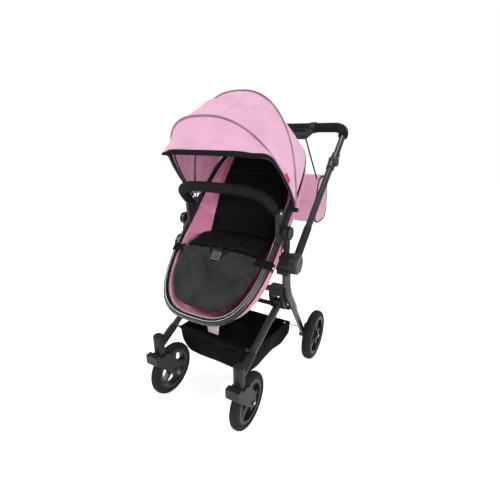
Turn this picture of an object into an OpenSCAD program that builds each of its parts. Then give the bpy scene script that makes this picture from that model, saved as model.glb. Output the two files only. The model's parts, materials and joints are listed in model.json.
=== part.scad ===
// Pushchair with a tilting oval seat, folding hood, swivel front wheels and a folding frame.
// Millimetres. +Z is up, the front faces -Y and the child's left side is +X.
// The origin is on the floor, under the middle of the whole object.

/* [Wheels] */
// Radius of a front tyre
front_r = 100; // [96:1:101]
// Width of a front tyre
front_w = 36; // [30:1:36]
// Radius of a rear tyre
rear_r = 110; // [105:1:112]
// Width of a rear tyre
rear_w = 40; // [34:1:40]
// Spokes in each wheel
spokes = 5; // [4:1:7]

/* [Wheel places] */
// Sideways distance from the middle to each swivel axis
caster_x = 172; // [170:1:174]
// Distance of a front axle behind its swivel axis
trail = 51; // [50:1:52]
// Sideways distance from the middle to each rear wheel
rear_x = 240; // [239:1:242]
// Distance of the rear axles behind the swivel axes
rear_y = 531; // [528:1:535]

/* [Frame] */
// Radius of the frame tubes
tube_r = 12; // [11:0.5:12]
// Height of the main folding hinge
hinge_z = 550; // [548:1:552]
// Angle of the push handle above the horizontal
handle_angle = 42; // [41:0.5:43]
// Main hinge to the handle's adjusting hub
lower_len = 469; // [460:1:475]
// Adjusting hub to the push bar
upper_len = 194; // [190:1:200]
// Half the width of the push handle at its tubes
handle_x = 250; // [250:1:251]

/* [Seat] */
// Tilt of the seat ring above the horizontal
ring_angle = 45.5; // [44:0.5:47]
// Half the width of the seat ring at its tube
ring_w = 194; // [193:0.5:194]
// Seat pivot to the foot end of the ring
ring_foot = 357; // [350:1:360]
// Seat pivot to the head end of the ring
ring_head = 396; // [390:1:400]
// Depth of the fabric tub under the ring
tub_depth = 105; // [95:1:110]

/* [Hood] */
// Seat pivot to the hood pivot, along the ring
hood_u = 92; // [90:1:95]
// Hood pivot to the top of the front, middle and rear bows
bow_h = [286, 366, 374];
// Angle of each bow above the horizontal, measured from the back
bow_angle = [139.5, 127.5, 93];

/* [Hidden] */
$fn = 64;

graphite = [0.30, 0.31, 0.33];
black = [0.08, 0.08, 0.09];
cloth_black = [0.12, 0.12, 0.13];
pink = [0.87, 0.62, 0.76];
steel = [0.75, 0.76, 0.78];

run = 0.06;          // radial clearance of a running fit
gap = 0.4;           // gap left between soft and hard pieces

// Lengths along Y are counted from the swivel axes and moved to the middle at the end.
bag_back = 868;
mid_y = (bag_back + trail - front_r) / 2;

// Main points of the frame, as [y, z]
hinge = [250, hinge_z];
knuckle = [284, 369];
seat = [245, hinge_z + 106];
dir = [cos(handle_angle), sin(handle_angle)];
swing = hinge + lower_len * dir;
bar = swing + upper_len * dir;
u_dir = [cos(ring_angle), sin(ring_angle)];
n_dir = [-sin(ring_angle), cos(ring_angle)];
hood = seat + hood_u * u_dir;
bumper = seat + 42 * u_dir + 49 * n_dir;
bumper_angle = 138;
rear_axle = [rear_y, rear_r];
front_axle = [trail, front_r];

// Planes across the object: inner and outer faces, from the middle outwards
column_x = 215;
column_r = 15;
block_x = [186, 229];
cap_x = [230.3, 262];
post_x = [208, 220.5];
lower_x = 244;
swing_x = 246;
joint_x = 249.2;     // where the two halves of the adjusting hub meet
hub_x = [190, 217];

// Front leg line, from the swivel housing to the knuckle
leg_slope = (knuckle[1] - 245) / (knuckle[0] - 32);
function leg_at(y) = [172 + 4 * (y - 32) / 248, y, 245 + (y - 32) * leg_slope];
leg_low = leg_at(84);
leg_top = leg_at(knuckle[0]);

column_path = [
    [column_x, 250, 506.4], [column_x, 254, 466], [column_x, 272, 420], [column_x - 2, 337, 336]
];
leg_end = [204, 485, 140];
bend_r = 46;         // radius of the push bar's corners

// ---------- helpers ----------

module place() { translate([0, -mid_y, 0]) children(); }

module side(s) { if (s > 0) children(); else mirror([1, 0, 0]) children(); }

module both() { children(); mirror([1, 0, 0]) children(); }

// A round bar from p to q
module rod(p, q, r) {
    d = q - p;
    translate(p) rotate([0, acos(d.z / norm(d)), atan2(d.y, d.x)]) cylinder(r = r, h = norm(d));
}

// A round bar along X around the point at = [y, z]
module barrel(x0, x1, at, r) {
    translate([x0, at[0], at[1]]) rotate([0, 90, 0]) cylinder(r = r, h = x1 - x0);
}

// A flat outline in Y and Z, made thick along X
module slab(x0, x1) { translate([x0, 0, 0]) rotate([90, 0, 90]) linear_extrude(x1 - x0) children(); }

module dot(at, r) { translate(at) circle(r = r); }

// Frames of the tilted parts: y runs along the tube, z is square to its plane
module handle_frame() { translate([0, swing[0], swing[1]]) rotate([handle_angle, 0, 0]) children(); }

module seat_frame() { translate([0, seat[0], seat[1]]) rotate([ring_angle, 0, 0]) children(); }

module bow_frame(angle, at) { translate([0, at[0], at[1]]) rotate([angle, 0, 0]) children(); }

function unit(v) = v / norm(v);

// Round tube of radius r along a flat path in the XY plane
module sweep(path, r, sides = 10, closed = false) {
    n = len(path);
    function step(i) = closed
        ? unit(path[(i + 1) % n] - path[(i + n - 1) % n])
        : unit(path[min(i + 1, n - 1)] - path[max(i - 1, 0)]);
    points = [for (i = [0:n - 1]) let (t = step(i), m = [-t[1], t[0]]) for (k = [0:sides - 1])
        let (a = 360 * k / sides)
        [path[i][0] + r * cos(a) * m[0], path[i][1] + r * cos(a) * m[1], r * sin(a)]];
    last = closed ? n - 1 : n - 2;
    walls = [for (i = [0:last]) for (k = [0:sides - 1])
        let (j = (i + 1) % n, m = (k + 1) % sides)
        [i * sides + k, j * sides + k, j * sides + m, i * sides + m]];
    ends = closed ? [] : [
        [for (k = [0:sides - 1]) k],
        [for (k = [sides - 1:-1:0]) (n - 1) * sides + k]
    ];
    polyhedron(points, concat(walls, ends), convexity = 8);
}

// Half of a rounded-off rectangle: width w each side, height h, from angle a0 to 180 - a0
function power(v, n) = sign(v) * pow(abs(v), 2 / n);
function arch(w, h, n, a0 = 0, count = 30) = [for (i = [0:count])
    let (a = a0 + (180 - 2 * a0) * i / count) [w * power(cos(a), n), h * power(sin(a), n)]];

// The seat ring's outline, grown or shrunk by d
function oval(d = 0, count = 26) = concat(
    arch(ring_w + d, ring_head + d, 4, 0, count),
    [for (p = arch(ring_w + d, ring_foot + d, 3.1, 0, count)) if (p[1] > 1) [-p[0], -p[1]]]
);

// Curved sheet stretched between two hoops that turn about one axis.
// Each hoop is [half width, height, roundness, angle]; t is the sheet's thickness.
module hood_sheet(a, b, t, sag, start = 12, rows = 6, count = 28) {
    function hoop(k) = a + (b - a) * k / rows;
    function lift(k, i) = -sag * sin(180 * k / rows) * sin(180 * i / count);
    function at(k, i, d) = let (
            h = hoop(k),
            s = start + (180 - 2 * start) * i / count,
            x = (h[0] + d) * power(cos(s), h[2]),
            r = (h[1] + d + lift(k, i)) * power(sin(s), h[2])
        ) [x, r * cos(h[3]), r * sin(h[3])];
    m = count + 1;
    half = (rows + 1) * m;
    points = concat(
        [for (k = [0:rows]) for (i = [0:count]) at(k, i, t)],
        [for (k = [0:rows]) for (i = [0:count]) at(k, i, 0)]
    );
    skin = [for (k = [0:rows - 1]) for (i = [0:count - 1])
        let (p = k * m + i) [p, p + 1, p + m + 1, p + m]];
    lining = [for (f = skin) [f[3] + half, f[2] + half, f[1] + half, f[0] + half]];
    rims = concat(
        [for (i = [0:count - 1]) [i + 1, i, i + half, i + 1 + half]],
        [for (i = [0:count - 1]) let (p = rows * m + i) [p, p + 1, p + 1 + half, p + half]],
        [for (k = [0:rows - 1]) let (p = k * m) [p, p + m, p + m + half, p + half]],
        [for (k = [0:rows - 1]) let (p = k * m + count) [p + m, p, p + half, p + m + half]]
    );
    polyhedron(points, concat(skin, lining, rims), convexity = 6);
}

// ---------- fixed frame ----------

module column_core(grow = 0) {
    for (i = [0:2]) rod(column_path[i], column_path[i + 1], column_r + grow);
    for (i = [1:2]) translate(column_path[i]) sphere(r = column_r + grow + 0.4);
}

module column(s) { color(graphite) place() side(s) column_core(); }

// Inner half of the folding hinge, with the upright that carries the seat
module hinge_block(s) {
    color(black) place() side(s) difference() {
        union() {
            slab(block_x[0], block_x[1]) {
                dot(hinge, 34);
                translate([231, 508.2]) square([40, 42]);
            }
            slab(post_x[0], post_x[1]) {
                translate([231, hinge[1]]) square([28, seat[1] - hinge[1]]);
                dot(seat, 24);
            }
            barrel(block_x[1] - 1, 252, hinge, 6);
        }
        barrel(post_x[0] - 1, post_x[1] + 1, seat, 8 + run);
    }
}

// Bracket that carries a front leg's folding pivot
module knuckle_bracket(s) {
    color(black) place() side(s) difference() {
        union() {
            for (x = [[148, 161.5], [190.5, 203]]) slab(x[0], x[1]) {
                dot(knuckle, 20);
                polygon([[250, 446], [288, 446], [303, 372], [266, 362], [250, 410]]);
            }
            slab(161, 191) polygon([[250, 446], [288, 446], [292, 416], [250, 414]]);
            barrel(161, 191, knuckle, 7);
        }
        column_core(0.3);
    }
}

module cross_tubes() {
    color(black) place() {
        barrel(-147.7, 147.7, [266, 430], 11);
        barrel(-197.5, 197.5, [338, 326], 9);
    }
}

leg_gap = [0.04, -0.6, 0.8];     // keeps the leg just off its sleeve
module rear_leg(s) {
    color(black) place() side(s) rod([column_x - 2.02, 337.4, 335.4], leg_end + leg_gap, 11.5);
}

// Casting at the foot of a rear leg, with the stub axle and two ears for the brake pedal
brake = [552, 135];
module rear_hub_block(s) {
    foot = [497, 124];
    color(black) place() side(s) {
        rod(leg_end, [204, foot[0], foot[1]], 12.3);
        slab(hub_x[0], hub_x[1]) {
            dot(foot, 15);
            dot(rear_axle, 20);
            polygon([[499.5, 136.5], [536, 127.5], [529, 92], [490.5, 112.5]]);
        }
        for (x = [hub_x[0], hub_x[1] - 4.5]) slab(x, x + 4.5) {
            dot(brake, 8);
            polygon([[534, 126], [548, 140], [557, 131], [546, 115]]);
        }
        barrel(hub_x[0], hub_x[1], brake, 3);
        barrel(hub_x[1] - 1, 261.5, rear_axle, 6);
        barrel(261, 264, rear_axle, 9);
    }
}

module frame_bolts() {
    color(steel) place() both() {
        barrel(145, 147.8, knuckle, 8);
        barrel(187, 189.8, rear_axle, 8);
        barrel(183, 185.8, hinge, 9);
    }
}

module brake_pedal(s) {
    color(black) place() side(s) difference() {
        union() {
            slab(195, 212) dot(brake, 7);
            slab(195, 212) polygon([[553, 130], [555, 140], [592, 146], [598, 141], [594, 136]]);
            slab(193, 214) polygon([[576, 138], [577, 145], [596, 148], [600, 142], [595, 136]]);
        }
        barrel(190, 217, brake, 3 + run);
    }
}

// ---------- folding push handle ----------

function along(x, s) = [x, hinge[0] + s * dir[0], hinge[1] + s * dir[1]];
collar_len = 150;

// Outer half of the folding hinge and the socket for the handle tube
module hinge_cap(s) {
    color(graphite) place() side(s) difference() {
        union() {
            barrel(cap_x[0], cap_x[1] - 5, hinge, 36);
            translate([cap_x[1] - 5, hinge[0], hinge[1]]) rotate([0, 90, 0])
                cylinder(r1 = 36, r2 = 31, h = 5);
            difference() {
                rod(along(lower_x, 0), along(lower_x, collar_len), 14);
                barrel(200, cap_x[0], hinge, 40);
            }
        }
        barrel(200, 253, hinge, 6 + run);
    }
}

module lower_tube(s) {
    top = [swing_x, swing[0], swing[1]];
    low = along(lower_x, collar_len);
    color(graphite) place() side(s) {
        difference() {
            union() {
                rod(low, top - 38 * unit(top - low), tube_r);
                rod(top - 38 * unit(top - low), top, 16);
            }
            barrel(joint_x - 0.2, 300, swing, 20.5);
        }
        barrel(joint_x - 15, joint_x - 0.2, swing, 19);
        barrel(joint_x - 1, 258, swing, 5);
    }
}

// U-shaped path of the push bar, as one solid of radius r that starts at height y0
module push_u(r, y0) {
    both() {
        translate([handle_x, y0, 0]) rotate([-90, 0, 0]) cylinder(r = r, h = upper_len - bend_r - y0);
        translate([handle_x - bend_r, upper_len - bend_r, 0])
            rotate_extrude(angle = 90) translate([bend_r, 0]) circle(r = r);
    }
    translate([bend_r - handle_x, upper_len, 0]) rotate([0, 90, 0])
        cylinder(r = r, h = 2 * (handle_x - bend_r));
}

module handle_bar() {
    color(graphite) place() difference() {
        union() {
            difference() {
                handle_frame() {
                    push_u(tube_r, 38);
                    both() translate([handle_x, 0, 0]) rotate([-90, 0, 0]) cylinder(r = 16, h = 38);
                }
                both() barrel(200, joint_x + 0.2, swing, 20.5);
            }
            both() barrel(joint_x + 0.2, 266.6, swing, 19);
        }
        both() {
            barrel(200, 259, swing, 5 + run);
            barrel(261, 300, swing, 12.2);
            barrel(258, 300, swing, 3 + run);
        }
    }
}

module foam_grip() {
    color(black) place() handle_frame() difference() {
        push_u(19.5, upper_len - bend_r - 6);
        push_u(tube_r + 0.3, upper_len - bend_r - 7);
    }
}

// Centre release: a plate under the push bar, clamped round the foam at both ends
slot_low = upper_len - 41;
slot_high = upper_len - 23;
module release_grip() {
    color(black) place() handle_frame() difference() {
        union() {
            both() translate([97, upper_len, 0]) rotate([0, 90, 0]) cylinder(r = 23, h = 23);
            translate([0, 0, -11]) linear_extrude(22) polygon([
                [-118, upper_len - 12], [-92, upper_len - 56], [-86, upper_len - 59],
                [86, upper_len - 59], [92, upper_len - 56], [118, upper_len - 12]
            ]);
        }
        translate([-130, upper_len, 0]) rotate([0, 90, 0]) cylinder(r = 19.8, h = 260);
        translate([-84, slot_low, -20]) cube([168, slot_high - slot_low, 40]);
    }
}

module release_trigger() {
    color(graphite) place() handle_frame() translate([-83.6, slot_low + 0.2, -8]) cube([167.2, 7, 16]);
}

module swing_button(s) {
    color(black) place() side(s) {
        barrel(263.6, 268, swing, 12);
        barrel(260.5, 263.6, swing, 3);
    }
}

// Changing bag that hangs on two straps from the release grip
bag_front = 748;
module bag() {
    hook = [91, bar[0] - 57 * dir[0], bar[1] - 62 * dir[1]];
    color(pink) place() {
        hull() {
            for (x = [-140, 140]) {
                translate([x, bag_front + 22, 592]) sphere(r = 22, $fn = 24);
                translate([x, bag_back - 24, 594]) sphere(r = 24, $fn = 24);
                translate([x, bag_front + 14, 770]) sphere(r = 14, $fn = 24);
                translate([x, bag_back - 36, 766]) sphere(r = 16, $fn = 24);
            }
        }
        both() rod(hook, [150, bag_front + 6, 786], 2.5);
    }
}

// ---------- front legs ----------

module front_leg(s) {
    color(graphite) place() side(s) difference() {
        union() {
            barrel(162.5, 189.5, knuckle, 19);
            rod(leg_top, leg_low, tube_r);
            rod(leg_top, leg_at(knuckle[0] - 72), 14);
        }
        barrel(150, 200, knuckle, 7 + run);
    }
}

housing_z = [198, 277];
module caster_housing(s) {
    color(graphite) place() side(s) difference() {
        union() {
            translate([caster_x, 0, housing_z[0]])
                cylinder(r = 19, h = housing_z[1] - housing_z[0] - 4);
            translate([caster_x, 0, housing_z[1] - 4]) cylinder(r1 = 19, r2 = 15.5, h = 4);
            rod(leg_at(2), leg_low, 15);
        }
        translate([caster_x, 0, 180]) cylinder(r = 5 + run, h = 84);
    }
}

// Open fabric basket between the legs
basket_mid = 262;
module basket_body(grow) {
    outline = [
        [-165, -157], [165, -157], [165, 20], [184, 90], [184, 143], [-184, 143], [-184, 90], [-165, 20]
    ];
    floor_scale = [0.84, 0.66];
    lip = [for (p = outline) [p[0] * (1 + grow / 165), p[1] * (1 + grow / 150)]];
    base = [for (p = lip) [p[0] * floor_scale[0], p[1] * floor_scale[1]]];
    translate([0, basket_mid, 135])
    linear_extrude(128, slices = 1, scale = [1 / floor_scale[0], 1 / floor_scale[1]])
        polygon(base);
}

module basket() {
    color(cloth_black) place() difference() {
        basket_body(0);
        translate([0, 0, 4]) basket_body(-4.5);
        translate([-250, 95, 264]) rotate([-7, 0, 0]) cube([500, 400, 100]);
        both() translate([150, 60, 240]) cube([60, 115, 60]);
    }
}

// Rod across the front legs that the basket's front edge hangs on
module basket_rod() {
    y = 92;
    p = leg_at(y);
    color(black) place() difference() {
        barrel(-p.x, p.x, [y, p.z - 4], 5);
        both() rod(leg_at(84), leg_at(120), tube_r + 0.2);
        both() rod(leg_at(2), leg_low, 15.2);
    }
}

// ---------- swivel forks and wheels ----------

module fork(s) {
    inner = front_w / 2 + 2.5;
    outer = inner + 4.5;
    crown = [[-44, 176], [-44, 211], [-22, 211], [-22, 197], [13, 197], [13, 190], [-20, 165]];
    blade = [
        [-44, 178], [-44, 211], [-22, 211], [-22, 197], [12, 197], [38, 178], [58, 146], [68, 104],
        [51, 84], [37, 90]
    ];
    color(black) place() side(s) translate([caster_x, 0, 0]) {
        difference() {
            slab(-inner - 0.5, inner + 0.5) polygon(crown);
            barrel(-inner, inner, front_axle, front_r + 2.5);
        }
        for (x = [-outer, inner]) slab(x, x + 4.5) {
            polygon(blade);
            dot(front_axle, 16);
        }
        translate([0, 0, 193]) cylinder(r = 5, h = 66);
        barrel(-outer - 2, outer + 2, front_axle, 5);
        for (x = [-outer - 3, outer]) barrel(x, x + 3, front_axle, 8);
    }
}

// Tyre with a rounded tread, turned about X
module tyre(r, w, rim_r) {
    rotate([0, 90, 0]) rotate_extrude($fn = 96) difference() {
        intersection() {
            translate([r - 26, 0]) circle(r = 26);
            translate([rim_r, -w / 2]) square([60, w]);
        }
        translate([rim_r - 1, -w / 2 + 6]) square([5, w - 12]);
    }
}

// Rim with spokes and a hub that runs on its axle
module rim(r, w, hub_w, bore) {
    rotate([0, 90, 0]) difference() {
        union() {
            rotate_extrude($fn = 96) {
                translate([r - 14, -w / 2 + 3]) square([13.6, w - 6]);
                translate([r - 1, -w / 2 + 6.3]) square([4.6, w - 12.6]);
            }
            cylinder(r = 18, h = hub_w, center = true);
            for (i = [0:spokes - 1]) rotate([0, 0, 90 + 360 * i / spokes])
                translate([12, -7, -w / 2 + 9]) cube([r - 20, 14, w - 18]);
        }
        cylinder(r = bore, h = hub_w + 2, center = true);
    }
}

module front_wheel_place(s) { place() side(s) translate([caster_x, trail, front_r]) children(); }

module rear_wheel_place(s) { place() side(s) translate([rear_x, rear_y, rear_r]) children(); }

front_rim_r = front_r - 22;
rear_rim_r = rear_r - 24;

module front_tyre(s) { color(black) front_wheel_place(s) tyre(front_r, front_w, front_rim_r); }
module rear_tyre(s) { color(black) rear_wheel_place(s) tyre(rear_r, rear_w, rear_rim_r); }
module front_rim(s) {
    color(black) front_wheel_place(s) rim(front_rim_r, front_w, front_w + 2, 5 + run);
}
module rear_rim(s) { color(black) rear_wheel_place(s) rim(rear_rim_r, rear_w, rear_w + 1, 6 + run); }

// ---------- seat ----------

ring_r = 8.5;
clip_r = 12.5;       // outer radius of the sleeves on the ring
pin_r = 4;

module seat_ring() { color(black) place() seat_frame() sweep(oval(), ring_r, 12, closed = true); }

// Bracket at the middle of the ring: seat pivot, bumper ear and the post for the hood bows
module seat_hub(s) {
    color(graphite) place() side(s) seat_frame() difference() {
        union() {
            translate([ring_w, -48, 0]) rotate([-90, 0, 0]) cylinder(r = clip_r, h = hood_u + 66);
            slab(180, 193) {
                polygon([[-22, 4], [30, 62], [54, 50], [66, 10], [60, -4], [-20, -4]]);
                dot([42, 49], 14);
            }
            barrel(ring_w + 8, 221.5, [0, 0], 8);
            barrel(ring_w + 8, 224.5, [hood_u, 0], pin_r);
        }
        translate([ring_w, -60, 0]) rotate([-90, 0, 0]) cylinder(r = ring_r + gap, h = 240);
        barrel(209, 230, [0, 0], 3 + run);
        barrel(170, 194, [42, 49], pin_r + run);
    }
}

module tilt_button(s) {
    color(graphite) place() side(s) difference() {
        union() {
            barrel(224.8, 228.8, seat, 22);
            barrel(213, 225, seat, 3);
        }
        barrel(227, 230, seat, 13);
    }
}

// Soft tub that hangs from the ring, d inside its skin; rim is the height of its top edge
module tub(d, depth, rim = 1) {
    hull() {
        translate([0, 0, -7]) linear_extrude(rim) polygon(oval(-15 - d, 16));
        translate([0, -20, -depth + 45]) scale([0.88, 0.86, 1])
            linear_extrude(1) polygon(oval(-15 - d, 16));
        translate([0, 10, -depth + d]) scale([0.66, 0.62, 1])
            linear_extrude(1) polygon(oval(-15 - d, 16));
    }
}

module seat_shell() {
    color(pink) place() seat_frame() difference() {
        tub(0, tub_depth);
        translate([0, 0, 1.5]) tub(5, tub_depth);
    }
}

// Seat cushion and leg pad in one: from the crease up to the foot end
crease = [-22, -57];
module seat_pad() {
    color(cloth_black) place() seat_frame() {
        intersection() {
            slab(-160, 160) polygon([
                crease + [-6, -22], crease + [-4, -4], [-104, 2], [-160, 6], [-250, 6], [-330, 0],
                [-330, -10], [-250, -10], [-160, -12], [-112, -18]
            ]);
            translate([0, 0, -100]) linear_extrude(200) polygon(oval(-30, 16));
            translate([0, 0, 2]) tub(6, tub_depth, 40);
        }
    }
}

// Padded backrest, hinged at the crease
back_angle = 60;
back_pivot = seat + crease[0] * u_dir + crease[1] * n_dir;
module back_liner() {
    color(cloth_black) place() bow_frame(back_angle, back_pivot) hull() {
        translate([-106, 6, -16]) cube([212, 10, 18]);
        translate([-128, 250, -16]) cube([256, 10, 18]);
        translate([-112, 392, -14]) cube([224, 8, 14]);
    }
}

// Crotch strap that lies on the pad and the two waist straps beside the crease
buckle_at = [-136, 8];
module harness() {
    color(black) place() seat_frame() {
        slab(-12, 12)
            polygon([[-58, -30], [-60, -26], [-103, 5.5], [-118, 7.6], [-118, 5.4], [-102, 3]]);
        both() slab(46, 60) polygon([[-50, -35.5], [-52, -31], [-98, 2], [-100, -0.5]]);
    }
}

module buckle() {
    color(black) place() seat_frame() difference() {
        translate([-19, buckle_at[0] - 17, buckle_at[1]]) cube([38, 34, 11]);
        translate([0, buckle_at[0], buckle_at[1] + 4]) cylinder(r = 8 + 0.3, h = 20);
    }
}

module buckle_button() {
    color(graphite) place() seat_frame() translate([0, buckle_at[0], buckle_at[1] + 7.5])
        cylinder(r = 8, h = 5);
}

// ---------- bumper bar ----------

bumper_x = 173;
bumper_h = 122;
module bumper_path_solid(r, start, sides) { sweep(arch(bumper_x, bumper_h, 4, start, 30), r, sides); }

module bumper_bar() {
    color(black) place() bow_frame(bumper_angle, bumper) {
        bumper_path_solid(6.4, 0.4, 10);
        both() slab(166, 179.5) {
            dot([0, 0], 13);
            translate([0, -11]) square([26, 22]);
        }
        both() barrel(179, 191, [0, 0], pin_r);
    }
}

module bumper_foam() {
    color(black) place() bow_frame(bumper_angle, bumper) difference() {
        bumper_path_solid(17, 3, 14);
        bumper_path_solid(6.8, 0.6, 10);
    }
}

// ---------- hood ----------

// One row per bow, front to rear: inner and outer face of its eyelet, and its roundness
eyelet = [[218, 223], [212.8, 217.4], [207.6, 212.2]];
bow_n = [4.6, 2.5, 2.5];
bow_r = 2.2;
function bow_x(i) = (eyelet[i][0] + eyelet[i][1]) / 2;

module bow(i) {
    color(black) place() bow_frame(bow_angle[i], hood) difference() {
        union() {
            sweep(arch(bow_x(i), bow_h[i], bow_n[i], 0, 36), bow_r, 8);
            both() barrel(eyelet[i][0], eyelet[i][1], [0, 0], 8);
        }
        both() barrel(200, 230, [0, 0], pin_r + run);
    }
}

// A hoop for hood_sheet that clears bow i, at that bow's angle
clear = bow_r + 0.6;
function hoop(i) = [bow_x(i) + clear, bow_h[i] + clear, bow_n[i], bow_angle[i]];
ring_hoop = [ring_w + 12, ring_head - hood_u + 12, 4, ring_angle + 4];
edge_turn = [0, 0, 0, 0.6];      // keeps neighbouring sheets from touching

module hood_piece(a, b, sag) {
    color(pink) place() translate([0, hood[0], hood[1]]) hood_sheet(a, b, 2, sag);
}

module hood_visor() { hood_piece(hoop(0), hoop(1) + edge_turn, 4); }
module hood_top() { hood_piece(hoop(1) - edge_turn, hoop(2) + edge_turn, 8); }
module hood_rear() { hood_piece(hoop(2) - edge_turn, ring_hoop, 4); }

// ---------- drawing ----------

column(1);  // column_l
column(-1);  // column_r
hinge_block(1);  // hinge_block_l
hinge_block(-1);  // hinge_block_r
knuckle_bracket(1);  // knuckle_l
knuckle_bracket(-1);  // knuckle_r
cross_tubes();
rear_leg(1);  // rear_leg_l
rear_leg(-1);  // rear_leg_r
rear_hub_block(1);  // rear_hub_block_l
rear_hub_block(-1);  // rear_hub_block_r
frame_bolts();
brake_pedal(1);  // brake_pedal_l
brake_pedal(-1);  // brake_pedal_r
hinge_cap(1);  // hinge_cap_l
hinge_cap(-1);  // hinge_cap_r
lower_tube(1);  // lower_tube_l
lower_tube(-1);  // lower_tube_r
handle_bar();
foam_grip();
release_grip();
bag();
release_trigger();
swing_button(1);  // swing_button_l
swing_button(-1);  // swing_button_r
front_leg(1);  // front_leg_l
front_leg(-1);  // front_leg_r
caster_housing(1);  // caster_housing_l
caster_housing(-1);  // caster_housing_r
basket();
basket_rod();
fork(1);  // fork_l
fork(-1);  // fork_r
front_tyre(1);  // tyre_fl
front_tyre(-1);  // tyre_fr
rear_tyre(1);  // tyre_rl
rear_tyre(-1);  // tyre_rr
front_rim(1);  // rim_fl
front_rim(-1);  // rim_fr
rear_rim(1);  // rim_rl
rear_rim(-1);  // rim_rr
seat_ring();
seat_hub(1);  // seat_hub_l
seat_hub(-1);  // seat_hub_r
seat_shell();
seat_pad();
harness();
buckle();
buckle_button();
back_liner();
tilt_button(1);  // tilt_button_l
tilt_button(-1);  // tilt_button_r
bumper_bar();
bumper_foam();
bow(0);  // bow_front
bow(1);  // bow_mid
bow(2);  // bow_rear
hood_visor();
hood_top();
hood_rear();
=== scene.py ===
import json
import math

import bmesh
import bpy
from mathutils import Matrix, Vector, noise


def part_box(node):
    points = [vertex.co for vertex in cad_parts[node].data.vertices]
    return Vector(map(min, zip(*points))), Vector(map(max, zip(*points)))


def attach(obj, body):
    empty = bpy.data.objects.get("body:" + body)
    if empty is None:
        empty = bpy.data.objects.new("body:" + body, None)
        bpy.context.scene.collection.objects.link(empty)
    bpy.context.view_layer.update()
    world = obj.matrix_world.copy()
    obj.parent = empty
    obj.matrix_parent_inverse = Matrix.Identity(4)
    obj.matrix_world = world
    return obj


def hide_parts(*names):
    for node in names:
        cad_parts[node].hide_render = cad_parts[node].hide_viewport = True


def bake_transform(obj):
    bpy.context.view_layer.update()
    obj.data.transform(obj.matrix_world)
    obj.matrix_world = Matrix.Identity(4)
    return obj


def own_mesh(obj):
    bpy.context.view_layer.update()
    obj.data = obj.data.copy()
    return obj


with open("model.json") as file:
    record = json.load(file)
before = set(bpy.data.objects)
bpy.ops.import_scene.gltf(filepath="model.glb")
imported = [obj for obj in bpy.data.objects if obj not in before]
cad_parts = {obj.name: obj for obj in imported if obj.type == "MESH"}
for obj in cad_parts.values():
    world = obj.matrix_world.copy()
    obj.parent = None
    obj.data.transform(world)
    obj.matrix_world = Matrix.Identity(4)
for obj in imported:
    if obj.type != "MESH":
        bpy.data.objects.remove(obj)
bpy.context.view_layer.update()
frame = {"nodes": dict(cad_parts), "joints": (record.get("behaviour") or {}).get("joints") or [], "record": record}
NODES = frame["nodes"]
JOINTS = {joint["name"]: joint for joint in frame["joints"]}


def pivot(name):
    """Where a joint's axis crosses the middle of the stroller."""
    place = JOINTS[name]["pos_m"]
    return Vector((0, place[1], place[2]))


# Places taken from the frame
SEAT = pivot("seat_tilt")
HOOD = pivot("hood_fold")
BUMPER = pivot("bumper_swing")
KNUCKLE = pivot("front_leg_fold")
CREASE = pivot("backrest_recline")
FRONT_AXLE = pivot("front_left_roll")
REAR_AXLE = pivot("rear_left_roll")

# Angles of the seat ring, handle, bumper and backrest, measured from +Y
RING_ANGLE = math.radians(45.5)
HANDLE_ANGLE = math.radians(42)
BUMPER_ANGLE = math.radians(138)
BACK_ANGLE = math.radians(60)
UP = Vector((0, math.cos(RING_ANGLE), math.sin(RING_ANGLE)))
OUT = Vector((0, -math.sin(RING_ANGLE), math.cos(RING_ANGLE)))

# Seat ring: half width, foot and head lengths from the pivot
RING_W, RING_FOOT, RING_HEAD = 0.194, 0.357, 0.396

# Radius of the ring's tube and of the bumper's grip; the bumper's half width and reach
RING_TUBE, GRIP_RADIUS = 0.0085, 0.0172
BUMPER_W, BUMPER_REACH = 0.173, 0.122

# Length of the backrest
BACK_LENGTH = 0.404

# Thickness of the front and the rear tyres
FRONT_TYRE, REAR_TYRE = 0.0222, 0.0242

# Left is +X: the sign of X and the ending of each name
SIDES = ((1, "l"), (-1, "r"))

# ---------------------------------------------------------------- meshes


def shade_smooth(mesh):
    mesh.polygons.foreach_set("use_smooth", [True] * len(mesh.polygons))


def new_object(name, mesh):
    obj = bpy.data.objects.new(name, mesh)
    bpy.context.scene.collection.objects.link(obj)
    shade_smooth(mesh)
    return obj


def mesh_from(name, points, faces):
    mesh = bpy.data.meshes.new(name)
    mesh.from_pydata([tuple(p) for p in points], [], faces)
    mesh.validate()
    mesh.update()
    return new_object(name, mesh)


def grid(name, rows, closed=False, caps=False):
    """A skin over rows of points. closed joins each row's ends; caps fills the first and last row."""
    count = len(rows[0])
    points = [p for row in rows for p in row]
    faces = []
    steps = count if closed else count - 1
    for k in range(len(rows) - 1):
        for i in range(steps):
            j = (i + 1) % count
            faces.append((k * count + i, k * count + j, (k + 1) * count + j, (k + 1) * count + i))
    if caps:
        faces.append(tuple(reversed(range(count))))
        faces.append(tuple((len(rows) - 1) * count + i for i in range(count)))
    return edited(mesh_from(name, points, faces), face_outwards)


def edited(obj, *steps):
    """Runs steps that each change the object's mesh."""
    bm = bmesh.new()
    bm.from_mesh(obj.data)
    for step in steps:
        step(bm)
    bm.to_mesh(obj.data)
    bm.free()
    return obj


def face_outwards(bm):
    bmesh.ops.recalc_face_normals(bm, faces=bm.faces)


def close_end(obj, first, count):
    """Fills the loop of count points that starts at point first."""
    def fill(bm):
        bm.verts.ensure_lookup_table()
        bm.faces.new([bm.verts[first + i] for i in range(count)])

    return edited(obj, fill, face_outwards)


def apply_modifiers(obj):
    graph = bpy.context.evaluated_depsgraph_get()
    mesh = bpy.data.meshes.new_from_object(obj.evaluated_get(graph))
    obj.modifiers.clear()
    obj.data = mesh
    shade_smooth(mesh)
    return obj


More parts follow.
